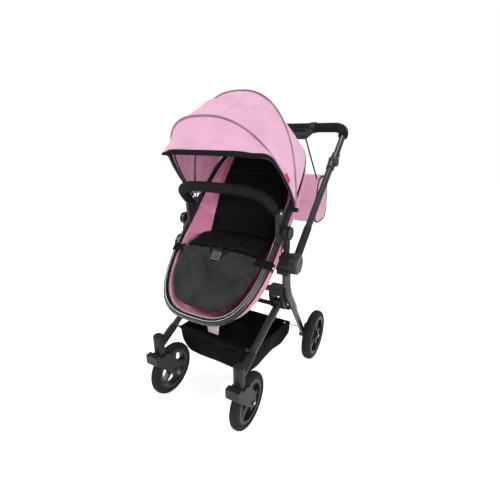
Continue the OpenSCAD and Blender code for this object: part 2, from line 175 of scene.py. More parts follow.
def thicken(obj, thickness, offset=0.0):
    solid = obj.modifiers.new("thickness", "SOLIDIFY")
    solid.thickness = thickness
    solid.offset = offset
    solid.use_even_offset = True
    return apply_modifiers(obj)


def bevelled(obj, width, segments=2, angle=35):
    bevel = obj.modifiers.new("bevel", "BEVEL")
    bevel.width = width
    bevel.segments = segments
    bevel.limit_method = "ANGLE"
    bevel.angle_limit = math.radians(angle)
    return apply_modifiers(obj)


def tube(name, path, radius, sides=16, closed=False, flat=1.0, across=None):
    """A tube along a path. flat squeezes it along the direction across."""
    path = [Vector(p) for p in path]
    count = len(path)
    tangents = []
    for i in range(count):
        if closed:
            step = path[(i + 1) % count] - path[i - 1]
        else:
            step = path[min(i + 1, count - 1)] - path[max(i - 1, 0)]
        tangents.append(step.normalized())
    side = Vector(across) if across else tangents[0].orthogonal()
    rows = []
    for point, tangent in zip(path, tangents):
        side = (side - tangent * side.dot(tangent)).normalized()
        other = tangent.cross(side)
        row = []
        for k in range(sides):
            a = 2 * math.pi * k / sides
            row.append(point + radius * (flat * math.cos(a) * side + math.sin(a) * other))
        rows.append(row)
    if closed:
        rows.append(rows[0])
    obj = grid(name, rows, closed=True, caps=not closed)
    if closed:
        weld(obj)
    return obj


def weld(obj, distance=1e-6):
    return edited(obj, lambda bm: bmesh.ops.remove_doubles(bm, verts=bm.verts, dist=distance))


def smooth_path(points, steps):
    """A Catmull-Rom curve through the points."""
    points = [Vector(p) for p in points]
    last = len(points) - 1
    out = []
    for i in range(last):
        a, b, c, d = points[max(i - 1, 0)], points[i], points[i + 1], points[min(i + 2, last)]
        for k in range(steps):
            t = k / steps
            out.append(0.5 * ((2 * b) + (c - a) * t + (2 * a - 5 * b + 4 * c - d) * t * t
                              + (3 * b - a - 3 * c + d) * t ** 3))
    return out + [points[-1]]


def resample(points, count):
    """count points evenly spaced along a line of points."""
    lengths = [0.0]
    for a, b in zip(points, points[1:]):
        lengths.append(lengths[-1] + (Vector(b) - Vector(a)).length)
    out = []
    k = 0
    for i in range(count):
        want = lengths[-1] * i / (count - 1)
        while k < len(points) - 2 and lengths[k + 1] < want:
            k += 1
        span = max(lengths[k + 1] - lengths[k], 1e-9)
        out.append(Vector(points[k]).lerp(Vector(points[k + 1]), (want - lengths[k]) / span))
    return out


def lumps(x, y, z):
    """Smooth random height between about -1 and 1."""
    return noise.noise(Vector((x, y, z)))


def power(value, n):
    return math.copysign(abs(value) ** (2 / n), value)


def arch(width, height, n, start=0.0, count=200):
    """Half of a rounded-off rectangle, as (x, r) pairs, from +X to -X. start is the lowest r."""
    line = []
    for i in range(count + 1):
        a = math.pi * i / count
        line.append(Vector((width * power(math.cos(a), n), height * power(math.sin(a), n), 0)))
    return [p for p in line if p.y >= start - 1e-9]


def oval(grow, count):
    """The seat ring's outline as (x, u) pairs, evenly spaced and moved outwards by grow."""
    head = arch(RING_W + grow, RING_HEAD + grow, 4)
    foot = arch(RING_W + grow, RING_FOOT + grow, 3.1)
    line = head + [Vector((-p.x, -p.y, 0)) for p in foot[1:]]
    return resample(line, count + 1)[:-1]


def seat_point(x, u, n):
    return SEAT + Vector((x, 0, 0)) + UP * u + OUT * n


# ---------------------------------------------------------------- materials


class Shader:
    """Builds a node material step by step."""

    def __init__(self, name):
        self.material = bpy.data.materials.new(name)
        self.material.use_nodes = True
        self.nodes = self.material.node_tree.nodes
        self.links = self.material.node_tree.links
        self.bsdf = self.nodes["Principled BSDF"]
        self.coords = self.nodes.new("ShaderNodeTexCoord").outputs["Object"]
        self.normal = None

    def set(self, **values):
        for key, value in values.items():
            self.bsdf.inputs[key.replace("_", " ")].default_value = value

    def node(self, kind, **values):
        """A new node. Each value sets the input of that name, or feeds it if it is a node's output."""
        node = self.nodes.new(kind)
        for key, value in values.items():
            self.feed(node.inputs[key.replace("_", " ")], value)
        return node

    def feed(self, socket, value):
        if isinstance(value, bpy.types.NodeSocket):
            self.links.new(value, socket)
        else:
            socket.default_value = value

    def mapped(self, stretch, turn=(0, 0, 0)):
        if stretch is None and turn == (0, 0, 0):
            return self.coords
        return self.node("ShaderNodeMapping", Vector=self.coords, Scale=stretch or (1, 1, 1),
                         Rotation=turn).outputs["Vector"]

    def noise(self, scale, detail=4.0, rough=0.55, stretch=None):
        return self.node("ShaderNodeTexNoise", Vector=self.mapped(stretch), Scale=scale, Detail=detail,
                         Roughness=rough).outputs["Fac"]

    def wave(self, scale, turn, distortion=0.4, direction="X"):
        node = self.node("ShaderNodeTexWave", Vector=self.mapped(None, turn), Scale=scale,
                         Distortion=distortion, Detail=1.0)
        node.bands_direction = direction
        return node.outputs["Fac"]

    def math(self, operation, a, b):
        node = self.nodes.new("ShaderNodeMath")
        node.operation = operation
        self.feed(node.inputs[0], a)
        self.feed(node.inputs[1], b)
        return node.outputs[0]

    def colour(self, factor, stops):
        """Runs the base colour through stops of (place, colour)."""
        node = self.node("ShaderNodeValToRGB", Fac=factor)
        for element, (place, colour) in zip(node.color_ramp.elements, stops):
            element.position = place
            element.color = (*colour, 1)
        self.links.new(node.outputs["Color"], self.bsdf.inputs["Base Color"])

    def roughness(self, factor, low, high):
        node = self.node("ShaderNodeMapRange", Value=factor, To_Min=low, To_Max=high)
        self.links.new(node.outputs["Result"], self.bsdf.inputs["Roughness"])

    def bend(self, node):
        """Takes the surface's normal from a node."""
        self.normal = node.outputs["Normal"]
        self.links.new(self.normal, self.bsdf.inputs["Normal"])

    def rounded(self, radius):
        """Softens the shading across sharp edges, as a moulded or cast edge does."""
        node = self.node("ShaderNodeBevel", Radius=radius)
        node.samples = 4
        self.bend(node)

    def bump(self, factor, distance, strength=1.0):
        node = self.node("ShaderNodeBump", Height=factor, Distance=distance, Strength=strength)
        if self.normal is not None:
            self.links.new(self.normal, node.inputs["Normal"])
        self.bend(node)


def shades(colour, spread=0.12):
    low = tuple(c * (1 - spread) for c in colour)
    high = tuple(min(c * (1 + spread), 1.0) for c in colour)
    return [(0.3, low), (0.7, high)]


def cloth(name, colour, thread=900.0, weave=0.00012, spread=0.10, rough=0.85, sheen=0.06,
          melange=0.0, gloss=0.15, glow=0.0):
    """Woven cloth: crossed threads, slight fading and a soft sheen. melange mixes in fine flecks."""
    s = Shader(name)
    s.set(Sheen_Weight=sheen, Sheen_Roughness=0.5, Specular_IOR_Level=gloss)
    if glow:
        # Light that soaks through a single thin layer
        s.set(Subsurface_Weight=glow, Subsurface_Scale=0.004, Subsurface_Radius=(1.0, 0.45, 0.65))
    warp = s.wave(thread, (0, 0, 0), direction="X")
    weft = s.wave(thread, (0.35, 0.2, 0), direction="Z")
    depth = s.wave(thread, (0, 0, 0), direction="Y")
    threads = s.math("ADD", s.math("MULTIPLY", warp, weft), s.math("MULTIPLY", depth, 0.4))
    patch = s.noise(14.0, 3.0)
    fleck = s.noise(650.0, 2.0)
    mix = s.math("ADD", s.math("MULTIPLY", patch, 1.0 - melange), s.math("MULTIPLY", fleck, melange))
    s.colour(mix, shades(colour, spread))
    s.roughness(patch, rough - 0.08, min(rough + 0.08, 1.0))
    s.bump(s.noise(60.0, 3.0), 0.0006, 0.5)
    s.bump(threads, weave, 0.8)
    return s.material


def plastic(name, colour, rough=0.42, grain=1400.0, depth=0.00005, spread=0.08):
    """Moulded plastic with a fine grain and slight handling marks."""
    s = Shader(name)
    s.set(Specular_IOR_Level=0.35)
    s.rounded(0.002)
    marks = s.noise(22.0, 5.0, 0.6)
    s.colour(marks, shades(colour, spread))
    s.roughness(marks, rough - 0.07, rough + 0.10)
    s.bump(s.noise(grain, 2.0), depth, 0.6)
    return s.material


def painted(name, colour, rough=0.3, metallic=0.55, flake=2600.0, coat=0.2):
    """Powder-coated tube: fine flake and orange peel."""
    s = Shader(name)
    s.set(Metallic=metallic, Coat_Weight=coat, Coat_Roughness=0.2)
    s.rounded(0.0015)
    flakes = s.noise(flake, 1.0)
    s.colour(flakes, shades(colour, 0.06))
    s.roughness(s.noise(30.0, 4.0), rough - 0.06, rough + 0.08)
    s.bump(s.noise(900.0, 2.0), 0.00003, 0.5)
    return s.material


def foam_rubber(name, colour, pores=1500.0):
    s = Shader(name)
    s.set(Specular_IOR_Level=0.2)
    cells = s.noise(pores, 3.0, 0.7)
    s.colour(s.noise(40.0, 4.0), shades(colour, 0.2))
    s.roughness(cells, 0.68, 0.9)
    s.bump(cells, 0.00015, 0.7)
    return s.material


def web(name, colour, pitch=420.0):
    """Nylon webbing: cross ribs with a little gloss."""
    s = Shader(name)
    s.set(Specular_IOR_Level=0.2)
    ribs = s.wave(pitch, (0.8, 0.0, 0.0), 0.2, "Z")
    s.colour(s.noise(300.0, 2.0), shades(colour, 0.25))
    s.roughness(ribs, 0.55, 0.75)
    s.bump(ribs, 0.0002, 0.7)
    return s.material


def steel(name):
    s = Shader(name)
    s.set(Metallic=1.0)
    scratches = s.noise(200.0, 4.0, 0.7, stretch=(1, 8, 1))
    s.colour(scratches, [(0.2, (0.55, 0.56, 0.58)), (0.8, (0.8, 0.81, 0.83))])
    s.roughness(scratches, 0.18, 0.34)
    s.bump(scratches, 0.00002, 0.4)
    return s.material


PINK = (0.70, 0.40, 0.535)
MATERIALS = {
    "canopy": cloth("canopy_cloth", PINK, spread=0.05, glow=0.3),
    # tub: the canopy's pink painted darker and deeper, as painted shade and bounced light inside the seat; it also
    # colours the skirt and the wings
    "tub": cloth("tub_cloth", (0.70, 0.26, 0.42), spread=0.08),
    "bag": cloth("bag_cloth", (0.66, 0.35, 0.48), spread=0.06),
    "piping": cloth("piping_cloth", (0.30, 0.17, 0.235), thread=1500.0, spread=0.3),
    "liner": cloth("liner_cloth", (0.0065, 0.0068, 0.007), spread=0.2, sheen=0.0, rough=0.8, gloss=0.06),
    "pad": cloth("pad_cloth", (0.030, 0.032, 0.0325), spread=0.6, sheen=0.03, melange=0.5, gloss=0.12),
    "binding": cloth("binding_cloth", (0.008, 0.008, 0.009), spread=0.2, sheen=0.0, gloss=0.1),
    "basket": cloth("basket_cloth", (0.0045, 0.0047, 0.005), thread=700.0, spread=0.3, rough=0.7,
                    sheen=0.0, gloss=0.06),
    "mesh": cloth("mesh_cloth", (0.52, 0.50, 0.53), thread=380.0, weave=0.0004, spread=0.35),
    "tag": cloth("tag_cloth", (0.60, 0.025, 0.05), spread=0.1),
    "web": web("webbing", (0.010, 0.010, 0.011)),
    "graphite": painted("graphite_tube", (0.058, 0.060, 0.064), rough=0.27, metallic=0.6),
    "tube": painted("black_tube", (0.008, 0.008, 0.009), rough=0.22, metallic=0.0, coat=0.4),
    "plastic": plastic("black_plastic", (0.0105, 0.0105, 0.0115)),
    "cap": plastic("grey_plastic", (0.017, 0.0175, 0.0185), rough=0.36),
    "rim": plastic("wheel_plastic", (0.010, 0.010, 0.0105), rough=0.34),
    "tyre": foam_rubber("tyre_rubber", (0.0135, 0.0135, 0.014), pores=700.0),
    "foam": foam_rubber("grip_foam", (0.005, 0.005, 0.0053)),
    "steel": steel("bolt_steel"),
}

SLOT_LOOK = {
    "graphite": "graphite", "hard_plastic": "plastic", "cap_plastic": "cap", "ring_tube": "tube",
    "foam": "foam", "tyre": "tyre", "rim": "rim", "canopy_cloth": "canopy", "bag_cloth": "bag",
    "tub_cloth": "tub", "liner_cloth": "liner", "pad_cloth": "pad", "webbing": "web",
    "basket_cloth": "basket", "bow_rod": "tube", "bolt_steel": "steel",
}


# Moulded parts that share a slot with the painted tubes
NODE_LOOK = {"caster_housing_l": "plastic", "caster_housing_r": "plastic"}


def paint(obj, look):
    obj.data.materials.clear()
    obj.data.materials.append(MATERIALS[look])
    return obj


def piece(obj, body, look, stands_for=()):
    """Paints a finished piece, says what it moves with, and hides the parts it stands for."""
    paint(obj, look)
    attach(obj, body)
    if stands_for:
        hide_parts(*stands_for)
    return obj


def paint_cad():
    for part in frame["record"]["subparts"]:
        obj = NODES[part["node"]]
        look = MATERIALS[NODE_LOOK.get(part["node"], SLOT_LOOK[part["material_slot"]])]
        obj.data.materials.clear()
        obj.data.materials.append(look)
        obj.data.polygons.foreach_set("material_index", [0] * len(obj.data.polygons))


# ---------------------------------------------------------------- hood

# Hoops that the hood is stretched on: half width, height, roundness, angle
HOOPS = [
    (0.2233, 0.2888, 6.0, math.radians(139.5)),
    (0.2179, 0.3688, 2.5, math.radians(127.5)),
    (0.2127, 0.3768, 2.5, math.radians(93.0)),
    (0.1975, 0.3075, 4.0, RING_ANGLE + math.radians(1.3)),
]
HOOD_LOW = 0.022      # how near the pivot the cloth reaches


def hoop_line(index, count, low=HOOD_LOW):
    width, height, n, _ = HOOPS[index]
    return resample(arch(width, height, n, low, 400), count)


def turned(p, angle):
    return Vector((p.x, p.y * math.cos(angle), p.y * math.sin(angle)))


PULL = 0.7            # how far the visor's side edges are pulled back towards the middle bow


def hoop_world(index, count, low=HOOD_LOW, lift=0.0):
    """Points of a hoop; the front one curves back at both sides, as the visor's edge does."""
    line = [turned(p, HOOPS[index][3]) for p in hoop_line(index, count, low)]
    if index == 0:
        behind = [turned(p, HOOPS[1][3]) for p in hoop_line(1, count, low)]
        for i, other in enumerate(behind):
            s = i / (count - 1)
            t = min(max((0.31 - min(s, 1 - s)) / 0.10, 0.0), 1.0)
            line[i] = line[i].lerp(other, PULL * t * t * (3 - 2 * t))
    return [HOOD + p + p.normalized() * lift for p in line]


def hood_surface(a, b, rows, count, bulge, wrinkle):
    """Rows of points on the cloth stretched between hoops a and b, a little fuller than straight by bulge."""
    first, second = hoop_world(a, count), hoop_world(b, count)
    out = []
    for k in range(rows + 1):
        v = k / rows
        row = []
        for i in range(count):
            s = i / (count - 1)
            p = first[i].lerp(second[i], v) - HOOD
            across = math.sin(math.pi * v)
            outward = Vector((p.x * 0.6, p.y, p.z)).normalized()
            shape = bulge * across * math.sin(math.pi * s) + wrinkle(s, v) * max(across, 0.0) ** 0.5
            row.append(HOOD + p + outward * shape)
        out.append(row)
    return out


def visor_wrinkle(s, v):
    soft = 0.005 * lumps(s * 8, v * 2.0, 1.3) + 0.0016 * lumps(s * 30, v * 4, 4.3)
    line = 0.30 + 0.10 * math.cos(math.pi * (s - 0.43) / 0.055) * math.exp(-((s - 0.48) / 0.09) ** 2)
    near = math.exp(-((s - 0.48) / 0.115) ** 4)
    fold = 0.0052 * math.exp(-((v - line) / 0.06) ** 2) - 0.0034 * math.exp(-((v - line + 0.14) / 0.07) ** 2)
    return soft + fold * near


def crease(s, v, start, end, width):
    """How near (s, v) is to a line between two places on the cloth: 1 on it, fading to 0 around it."""
    way = (end[0] - start[0], (end[1] - start[1]) * 0.3)
    here = (s - start[0], (v - start[1]) * 0.3)
    size = way[0] ** 2 + way[1] ** 2
    t = min(max((here[0] * way[0] + here[1] * way[1]) / size, 0.0), 1.0)
    gap = math.hypot(here[0] - way[0] * t, here[1] - way[1] * t)
    return math.exp(-(gap / width) ** 2) * math.sin(math.pi * (0.12 + 0.76 * t))


CREASE_DEPTH = 1.35   # how strongly the creases stand out
TOP_CREASES = [   # start and end as (along the bow, from the middle bow to the rear bow), width, height
    ((0.43, 0.28), (0.455, 0.92), 0.008, 0.0060), ((0.52, 0.28), (0.495, 0.98), 0.008, 0.0062),
    ((0.435, 0.10), (0.43, 0.60), 0.007, 0.0045), ((0.475, 0.20), (0.47, 0.95), 0.006, 0.0050),
    ((0.39, 0.55), (0.36, 0.95), 0.007, 0.0038), ((0.56, 0.15), (0.54, 0.80), 0.008, 0.0044),
    ((0.33, 0.35), (0.27, 0.80), 0.008, 0.0055), ((0.27, 0.55), (0.20, 0.95), 0.007, 0.0048),
    ((0.19, 0.30), (0.11, 0.75), 0.008, 0.0052), ((0.24, 0.20), (0.20, 0.60), 0.008, 0.0040),
    ((0.66, 0.30), (0.60, 0.80), 0.008, 0.0040), ((0.76, 0.30), (0.84, 0.80), 0.008, 0.0045),
]


def top_wrinkle(s, v):
    soft = 0.009 * lumps(s * 6, v * 2.4, 7.1) + 0.0030 * lumps(s * 24, v * 5, 2.1)
    lines = sum(height * crease(s, v, start, end, width) for start, end, width, height in TOP_CREASES)
    return soft + CREASE_DEPTH * lines


def rear_wrinkle(s, v):
    return 0.004 * lumps(s * 8, v * 3.0, 3.7)


def hood_panel(name, a, b, node, bulge, wrinkle, rows, count=150):
    sheet = grid(name, hood_surface(a, b, rows, count, bulge, wrinkle))
    thicken(sheet, 0.0016)
    paint(sheet, "canopy")
    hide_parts(node)
    blend_hood(sheet)
    return sheet


def blend_hood(obj):
    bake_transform(obj)


def make_hood():
    hood_panel("hood_visor_cloth", 0, 1, "hood_visor", 0.003, visor_wrinkle, 40, 320)
    hood_panel("hood_top_cloth", 1, 2, "hood_top", 0.004, top_wrinkle, 80, 420)
    hood_panel("hood_rear_cloth", 2, 3, "hood_rear", 0.004, rear_wrinkle, 60, 220)
    bows = (("bow_front", 0), ("bow_mid", 1), ("bow_rear", 2))
    for node, index in bows:
        rod = tube(node + "_rod", hoop_world(index, 120, 0.006, -0.0034), 0.0022, 10)
        piece(rod, node, "tube", (node,))
        reach = abs(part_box(node)[1].x)
        for side, tag in SIDES:
            ring = disc("%s_eyelet_%s" % (node, tag), side * (reach - 0.0045), side * reach, HOOD, 0.008)
            piece(ring, node, "plastic")
    # Piped seams over the middle and rear bows
    piece(seam(1, "hood_mid_piping", 0.0032, 0.0), "bow_mid", "piping")
    piece(seam(2, "hood_rear_piping", 0.0042, 0.0009), "bow_rear", "piping")
    make_binding()


def seam(index, name, radius, rough):
    """A piped seam; rough makes it ruffled like a gathered cord."""
    path = hoop_world(index, 900, HOOD_LOW, 0.0016)
    obj = tube(name, path, radius, 12)
    if rough:
        count = 12
        for i, vertex in enumerate(obj.data.vertices):
            ring = i // count
            centre = path[min(ring, len(path) - 1)]
            s = ring / len(path)
            gather = math.exp(-((s - 0.5) / 0.3) ** 2)
            twist = math.sin(ring * 0.9 + 2 * (i % count) * math.pi / count)
            vertex.co += (vertex.co - centre).normalized() * rough * gather * twist
    return obj


TAG_SPAN = (45, 60)      # first and last place along the bow, out of 420


def make_binding():
    """Black hem round the front edge of the visor, and the small plain tag sewn beside it."""
    first, second = hoop_world(0, 260, HOOD_LOW, 0.0012), hoop_world(1, 260, HOOD_LOW, 0.0012)
    rows = []
    for k in range(7):
        row = []
        for i, (a, b) in enumerate(zip(first, second)):
            way = b - a
            front = min(max((min(i, 259 - i) / 259 - 0.2) / 0.1, 0.0), 1.0)
            width = 0.015 + 0.001 * front
            step = min(width / max(way.length, 1e-6), 0.9)
            row.append(a + way * (k / 6 - 0.3) * step)
        rows.append(row)
    hem = thicken(grid("hood_hem", rows), 0.0034)
    piece(hem, "bow_front", "binding")
    # The tag lies on the top panel, just behind the hem
    cloth_rows = hood_surface(1, 2, 80, 420, 0.004, top_wrinkle)
    rows = []
    for i in range(TAG_SPAN[0], TAG_SPAN[1] + 1):
        row = []
        for k in range(2, 19):
            here = cloth_rows[k][i]
            face = (cloth_rows[k + 1][i] - here).cross(cloth_rows[k][i + 1] - here).normalized()
            face = face if face.x > 0 else -face
            row.append(here + face * (0.0045 + 0.0008 * math.sin(k * 0.5 + i)))
        rows.append(row)
    tag = thicken(grid("hood_tag", rows), 0.0012)
    piece(tag, "bow_mid", "tag")


def disc(name, x0, x1, centre, radius, sides=40, bevel=0.0008):
    """A flat round piece with its axis along X."""
    rows = []
    for x in (x0, x1):
        rows.append([Vector((x, centre.y + radius * math.cos(2 * math.pi * k / sides),
                             centre.z + radius * math.sin(2 * math.pi * k / sides))) for k in range(sides)])
    obj = grid(name, rows, closed=True, caps=True)
    return bevelled(obj, bevel, 2)


# ---------------------------------------------------------------- seat


def make_ring():
    path = [seat_point(p.x, p.y, 0) for p in oval(0.0, 220)]
    ring = tube("seat_ring_tube", path, RING_TUBE, 28, closed=True, across=OUT)
    piece(ring, "seat", "tube", ("seat_ring",))
    # Bright bead where the fabric clips to the ring, inside and outside
    for name, grow, height in (("inner", -0.0105, -0.001), ("outer", 0.0098, -0.002)):
        path = [seat_point(p.x, p.y, height) for p in oval(grow, 200)]
        bead = tube("seat_ring_bead_" + name, path, 0.0022, 10, closed=True)
        piece(bead, "seat", "tube")


TUB_DEPTH = 0.105


def tub_section(level):
    """Scale and place of the tub's outline at a level from 0, the rim, to 1, the bottom."""
    stops = [(0.0, 1.0, 1.0, 0.0, -0.003), (0.35, 0.955, 0.95, -0.010, -0.035),
             (0.62, 0.88, 0.87, -0.010, -0.068), (0.85, 0.78, 0.76, 0.0, -0.093),
             (1.0, 0.62, 0.60, 0.008, -TUB_DEPTH)]
    for a, b in zip(stops, stops[1:]):
        if level <= b[0]:
            t = (level - a[0]) / (b[0] - a[0])
            return [a[k] + (b[k] - a[k]) * t for k in range(1, 5)]
    return stops[-1][1:]


def make_tub():
    count, levels = 200, 26
    base = oval(-0.0125, count)
    rows = []
    for k in range(levels + 1):
        level = k / levels
        sx, su, shift, depth = tub_section(level)
        row = []
        for i, p in enumerate(base):
            crumple = 0.004 * math.sin(math.pi * min(level * 1.2, 1.0))
            wave = crumple * lumps(p.x * 14, p.y * 11, level * 2.5)
            row.append(seat_point(p.x * sx * (1 + wave), p.y * su + shift, depth + wave))
        rows.append(row)
    # Close the bottom in shrinking rings
    sx, su, shift, depth = tub_section(1.0)
    for t in (0.8, 0.6, 0.4, 0.2, 0.06):
        rows.append([seat_point(p.x * sx * t, p.y * su * t + shift,
                                depth - 0.003 * (1 - t)) for p in base])
    tub = grid("seat_tub", rows, closed=True)
    close_end(tub, (len(rows) - 1) * count, count)
    thicken(tub, 0.003, offset=-1.0)
    # The tub's darker pink is painted shade
    piece(tub, "seat", "tub", ("seat_shell",))
    make_skirt()
    # Piped rim that wraps the tub's edge to the ring
    path = [seat_point(p.x, p.y, -0.0035) for p in oval(-0.0125, 220)]
    rim = tube("seat_tub_rim", path, 0.0032, 12, closed=True)
    piece(rim, "seat", "canopy")


SKIRT = [   # growth of the ring's outline, scale along it, distance under the ring
    (0.0035, 0.99, -0.0075), (0.0040, 0.97, -0.022), (0.0020, 0.945, -0.045), (-0.0060, 0.91, -0.068),
    (-0.0220, 0.87, -0.088), (-0.0460, 0.81, -0.103), (-0.0760, 0.72, -0.111), (-0.1100, 0.58, -0.114),
]


def make_skirt():
    """Outside of the tub: cloth that hangs from the ring, with slack folds and a stitched welt."""
    rows = []
    for k in range((len(SKIRT) - 1) * 5 + 1):
        i = min(k // 5, len(SKIRT) - 2)
        t = k / 5 - i
        grow, along, depth = (a + (b - a) * t for a, b in zip(SKIRT[i], SKIRT[i + 1]))
        level = k / ((len(SKIRT) - 1) * 5)
        row = []
        for p in oval(grow, 220):
            slack = math.sin(math.pi * min(level * 1.1, 1.0))
            fold = 0.0035 * lumps(p.x * 16, p.y * 9, level * 3) * slack
            fold += 0.0014 * math.sin(p.y * 60 + p.x * 25) * slack
            row.append(seat_point(p.x * (1 + fold * 4), p.y * along, depth + fold))
        rows.append(row)
    skirt = grid("seat_skirt", rows, closed=True)
    thicken(skirt, 0.0022, offset=-1.0)
    # The skirt takes the tub's darker pink, which is painted shade
    piece(skirt, "seat", "tub")
    path = [seat_point(p.x, p.y * 0.944, -0.046) for p in oval(0.0035, 220)]
    welt = tube("seat_skirt_welt", path, 0.0017, 8, closed=True)
    piece(welt, "seat", "canopy")
    make_foot_panel()


def make_foot_panel():
    """A small see-through net panel with a bound edge, sewn under the foot end."""
    rows = []
    for k in range(13):
        t = k / 12
        row = []
        for i in range(21):
            c = -1 + i / 10
            half = 0.036 - 0.016 * t
            depth = -0.084 - 0.066 * t ** 1.3 - 0.004 * c * c
            row.append(seat_point(0.004 + c * half, -0.292 - 0.074 * t, depth))
        rows.append(row)
    net = thicken(grid("foot_net", rows), 0.0012)
    piece(net, "seat", "mesh")
    edge = [row[0] for row in rows] + rows[-1][1:-1] + [row[-1] for row in reversed(rows)]
    piece(tube("foot_net_binding", edge, 0.0018, 8), "seat", "canopy")


def cushion(name, profile, rows=40, cols=40, puff=0.008):
    """A padded slab over a path (u, n, half width, thickness): both faces crowned, edges pulled in."""
    top, bottom = [], []
    for k in range(rows + 1):
        t = k / rows
        point, normal, half, thick = profile(t)
        upper, lower = [], []
        for i in range(cols + 1):
            c = -1 + 2 * i / cols
            edge = (1 - abs(c) ** 4) ** 0.5 if abs(c) < 1 else 0.0
            end = min(1.0, math.sin(math.pi * min(max(t, 0.0), 1.0)) * 6) ** 0.5
            crown = edge * end
            x = c * half
            middle = point + Vector((x, 0, 0))
            upper.append(middle + normal * (thick / 2 * crown + puff * crown * (1 - c * c)))
            lower.append(middle - normal * (thick / 2 * crown))
        top.append(upper)
        bottom.append(lower)
    rows_all = top + bottom[::-1]
    count = cols + 1
    points = [p for row in rows_all for p in row]
    faces = []
    for k in range(len(rows_all)):
        nxt = (k + 1) % len(rows_all)
        for i in range(cols):
            faces.append((k * count + i, k * count + i + 1, nxt * count + i + 1, nxt * count + i))
    obj = weld(mesh_from(name, points, faces), 0.0004)
    return edited(obj, lambda bm: bmesh.ops.holes_fill(bm, edges=bm.edges, sides=0), face_outwards)


def swell(obj, pressure, cap, voxel=0.005, frames=20):
    """Blows a pad up like stuffed cloth, then limits how far each point has moved."""
    remesh = obj.modifiers.new("remesh", "REMESH")
    remesh.mode = "VOXEL"
    remesh.voxel_size = voxel
    apply_modifiers(obj)
    start = [v.co.copy() for v in obj.data.vertices]
    sim = obj.modifiers.new("cloth", "CLOTH")
    sim.settings.use_pressure = True
    sim.settings.uniform_pressure_force = pressure
    sim.settings.effector_weights.gravity = 0
    sim.settings.quality = 5
    sim.settings.tension_stiffness = 12
    sim.settings.compression_stiffness = 4
    sim.settings.bending_stiffness = 0.3
    sim.point_cache.frame_start = 1
    sim.point_cache.frame_end = frames
    scene = bpy.context.scene
    for number in range(1, frames + 1):
        scene.frame_set(number)
    graph = bpy.context.evaluated_depsgraph_get()
    moved = [v.co.copy() for v in obj.evaluated_get(graph).data.vertices]
    obj.modifiers.clear()
    scene.frame_set(1)
    for vertex, a, b in zip(obj.data.vertices, start, moved):
        step = b - a
        if step.length > cap:
            step = step.normalized() * cap
        vertex.co = a + step
    obj.modifiers.new("relax", "SMOOTH").iterations = 3
    obj.modifiers.new("finer", "SUBSURF").levels = 1
    return apply_modifiers(obj)


def pad_width(u):
    """Half the width of the leg pad at distance u along the ring."""
    foot = RING_FOOT - 0.025
    side = RING_W - 0.013
    ratio = min(abs(min(u, 0.0)) / foot, 0.9999)
    return side * (1 - ratio ** 2.9) ** (1 / 2.9)


def make_pad():
    def profile(t):
        # From the free top edge down to the foot
        u = -0.092 - 0.236 * t
        lift = 0.003 + 0.007 * math.sin(math.pi * t) - 0.003 * t
        point = seat_point(0, u, lift - 0.006)
        half = pad_width(u)
        return point, OUT, half, 0.016

    pad = cushion("leg_pad", profile, 44, 60, puff=0.005)
    swell(pad, 3.0, 0.006)
    crease_pad(pad)
    piece(pad, "seat", "pad", ("seat_pad",))

    def seat_profile(t):
        u = -0.010 - 0.100 * t
        n = -0.072 + 0.066 * t ** 0.85
        return seat_point(0, u, n), (OUT + UP * 0.5).normalized(), 0.163 - 0.006 * (1 - t), 0.022

    base = cushion("seat_cushion", seat_profile, 20, 44, puff=0.004)
    swell(base, 2.5, 0.005)
    piece(base, "seat", "liner")


PAD_CREASES = [   # start and end as (x, u), width, depth
    ((-0.165, -0.120), (-0.060, -0.215), 0.0060, 0.0052),
    ((-0.150, -0.100), (-0.020, -0.150), 0.0055, 0.0042),
    ((-0.172, -0.150), (-0.110, -0.250), 0.0060, 0.0045), ((-0.090, -0.096), (0.020, -0.205), 0.0060, 0.0042),
    ((0.165, -0.115), (0.060, -0.170), 0.0055, 0.0050), ((0.160, -0.150), (0.070, -0.235), 0.0060, 0.0044),
    ((0.090, -0.100), (0.030, -0.160), 0.0050, 0.0036), ((-0.130, -0.290), (-0.060, -0.240), 0.0060, 0.0040),
    ((-0.040, -0.322), (-0.020, -0.270), 0.0055, 0.0036), ((0.060, -0.318), (0.020, -0.262), 0.0055, 0.0036),
    ((0.128, -0.286), (0.080, -0.250), 0.0055, 0.0040), ((-0.010, -0.150), (0.010, -0.290), 0.0080, 0.0026),
]


BUCKLE_U = -0.132     # where the buckle lies on the pad


def line_dent(x, u, start, end, width):
    way = (end[0] - start[0], end[1] - start[1])
    size = way[0] ** 2 + way[1] ** 2
    t = min(max(((x - start[0]) * way[0] + (u - start[1]) * way[1]) / size, 0.0), 1.0)
    wander = 0.004 * math.sin(5 * t + start[0] * 40)
    gap = math.hypot(x - start[0] - way[0] * t - wander, u - start[1] - way[1] * t)
    return math.exp(-(gap / width) ** 2) * (1 - t) ** 0.6


def crease_pad(pad):
    """Soft dents, and pulls that run in from the sewn edge."""
    for vertex in pad.data.vertices:
        local = vertex.co - SEAT
        u, x = local.dot(UP), vertex.co.x
        facing = 1.0 if local.dot(OUT) > -0.002 else 0.2
        soft = 0.005 * lumps(x * 13, u * 13, 2.0) + 0.0022 * lumps(x * 38, u * 30, 5.0)
        pulls = sum(depth * line_dent(x, u, start, end, width) for start, end, width, depth in PAD_CREASES)
        half = max(pad_width(u), 0.01)
        rim = max(1 - (half - abs(x)) / 0.022, 0.0)
        gather = 0.0016 * math.sin(u * 260 + x * 40) * rim
        pressed = 0.009 * math.exp(-(x / 0.034) ** 2 - ((u - BUCKLE_U) / 0.036) ** 2)
        vertex.co += OUT * facing * (soft - 1.8 * pulls + gather - pressed)
        droop = max(0.0, (u + 0.21) / 0.118) * (x / half) ** 2
        vertex.co -= UP * 0.020 * min(droop, 1.2)


LINER_SHIFT = 0.016   # the liner is moved this far towards +X, the near side,
LINER_GROW = 0.016    # and is this much wider on each side than its board


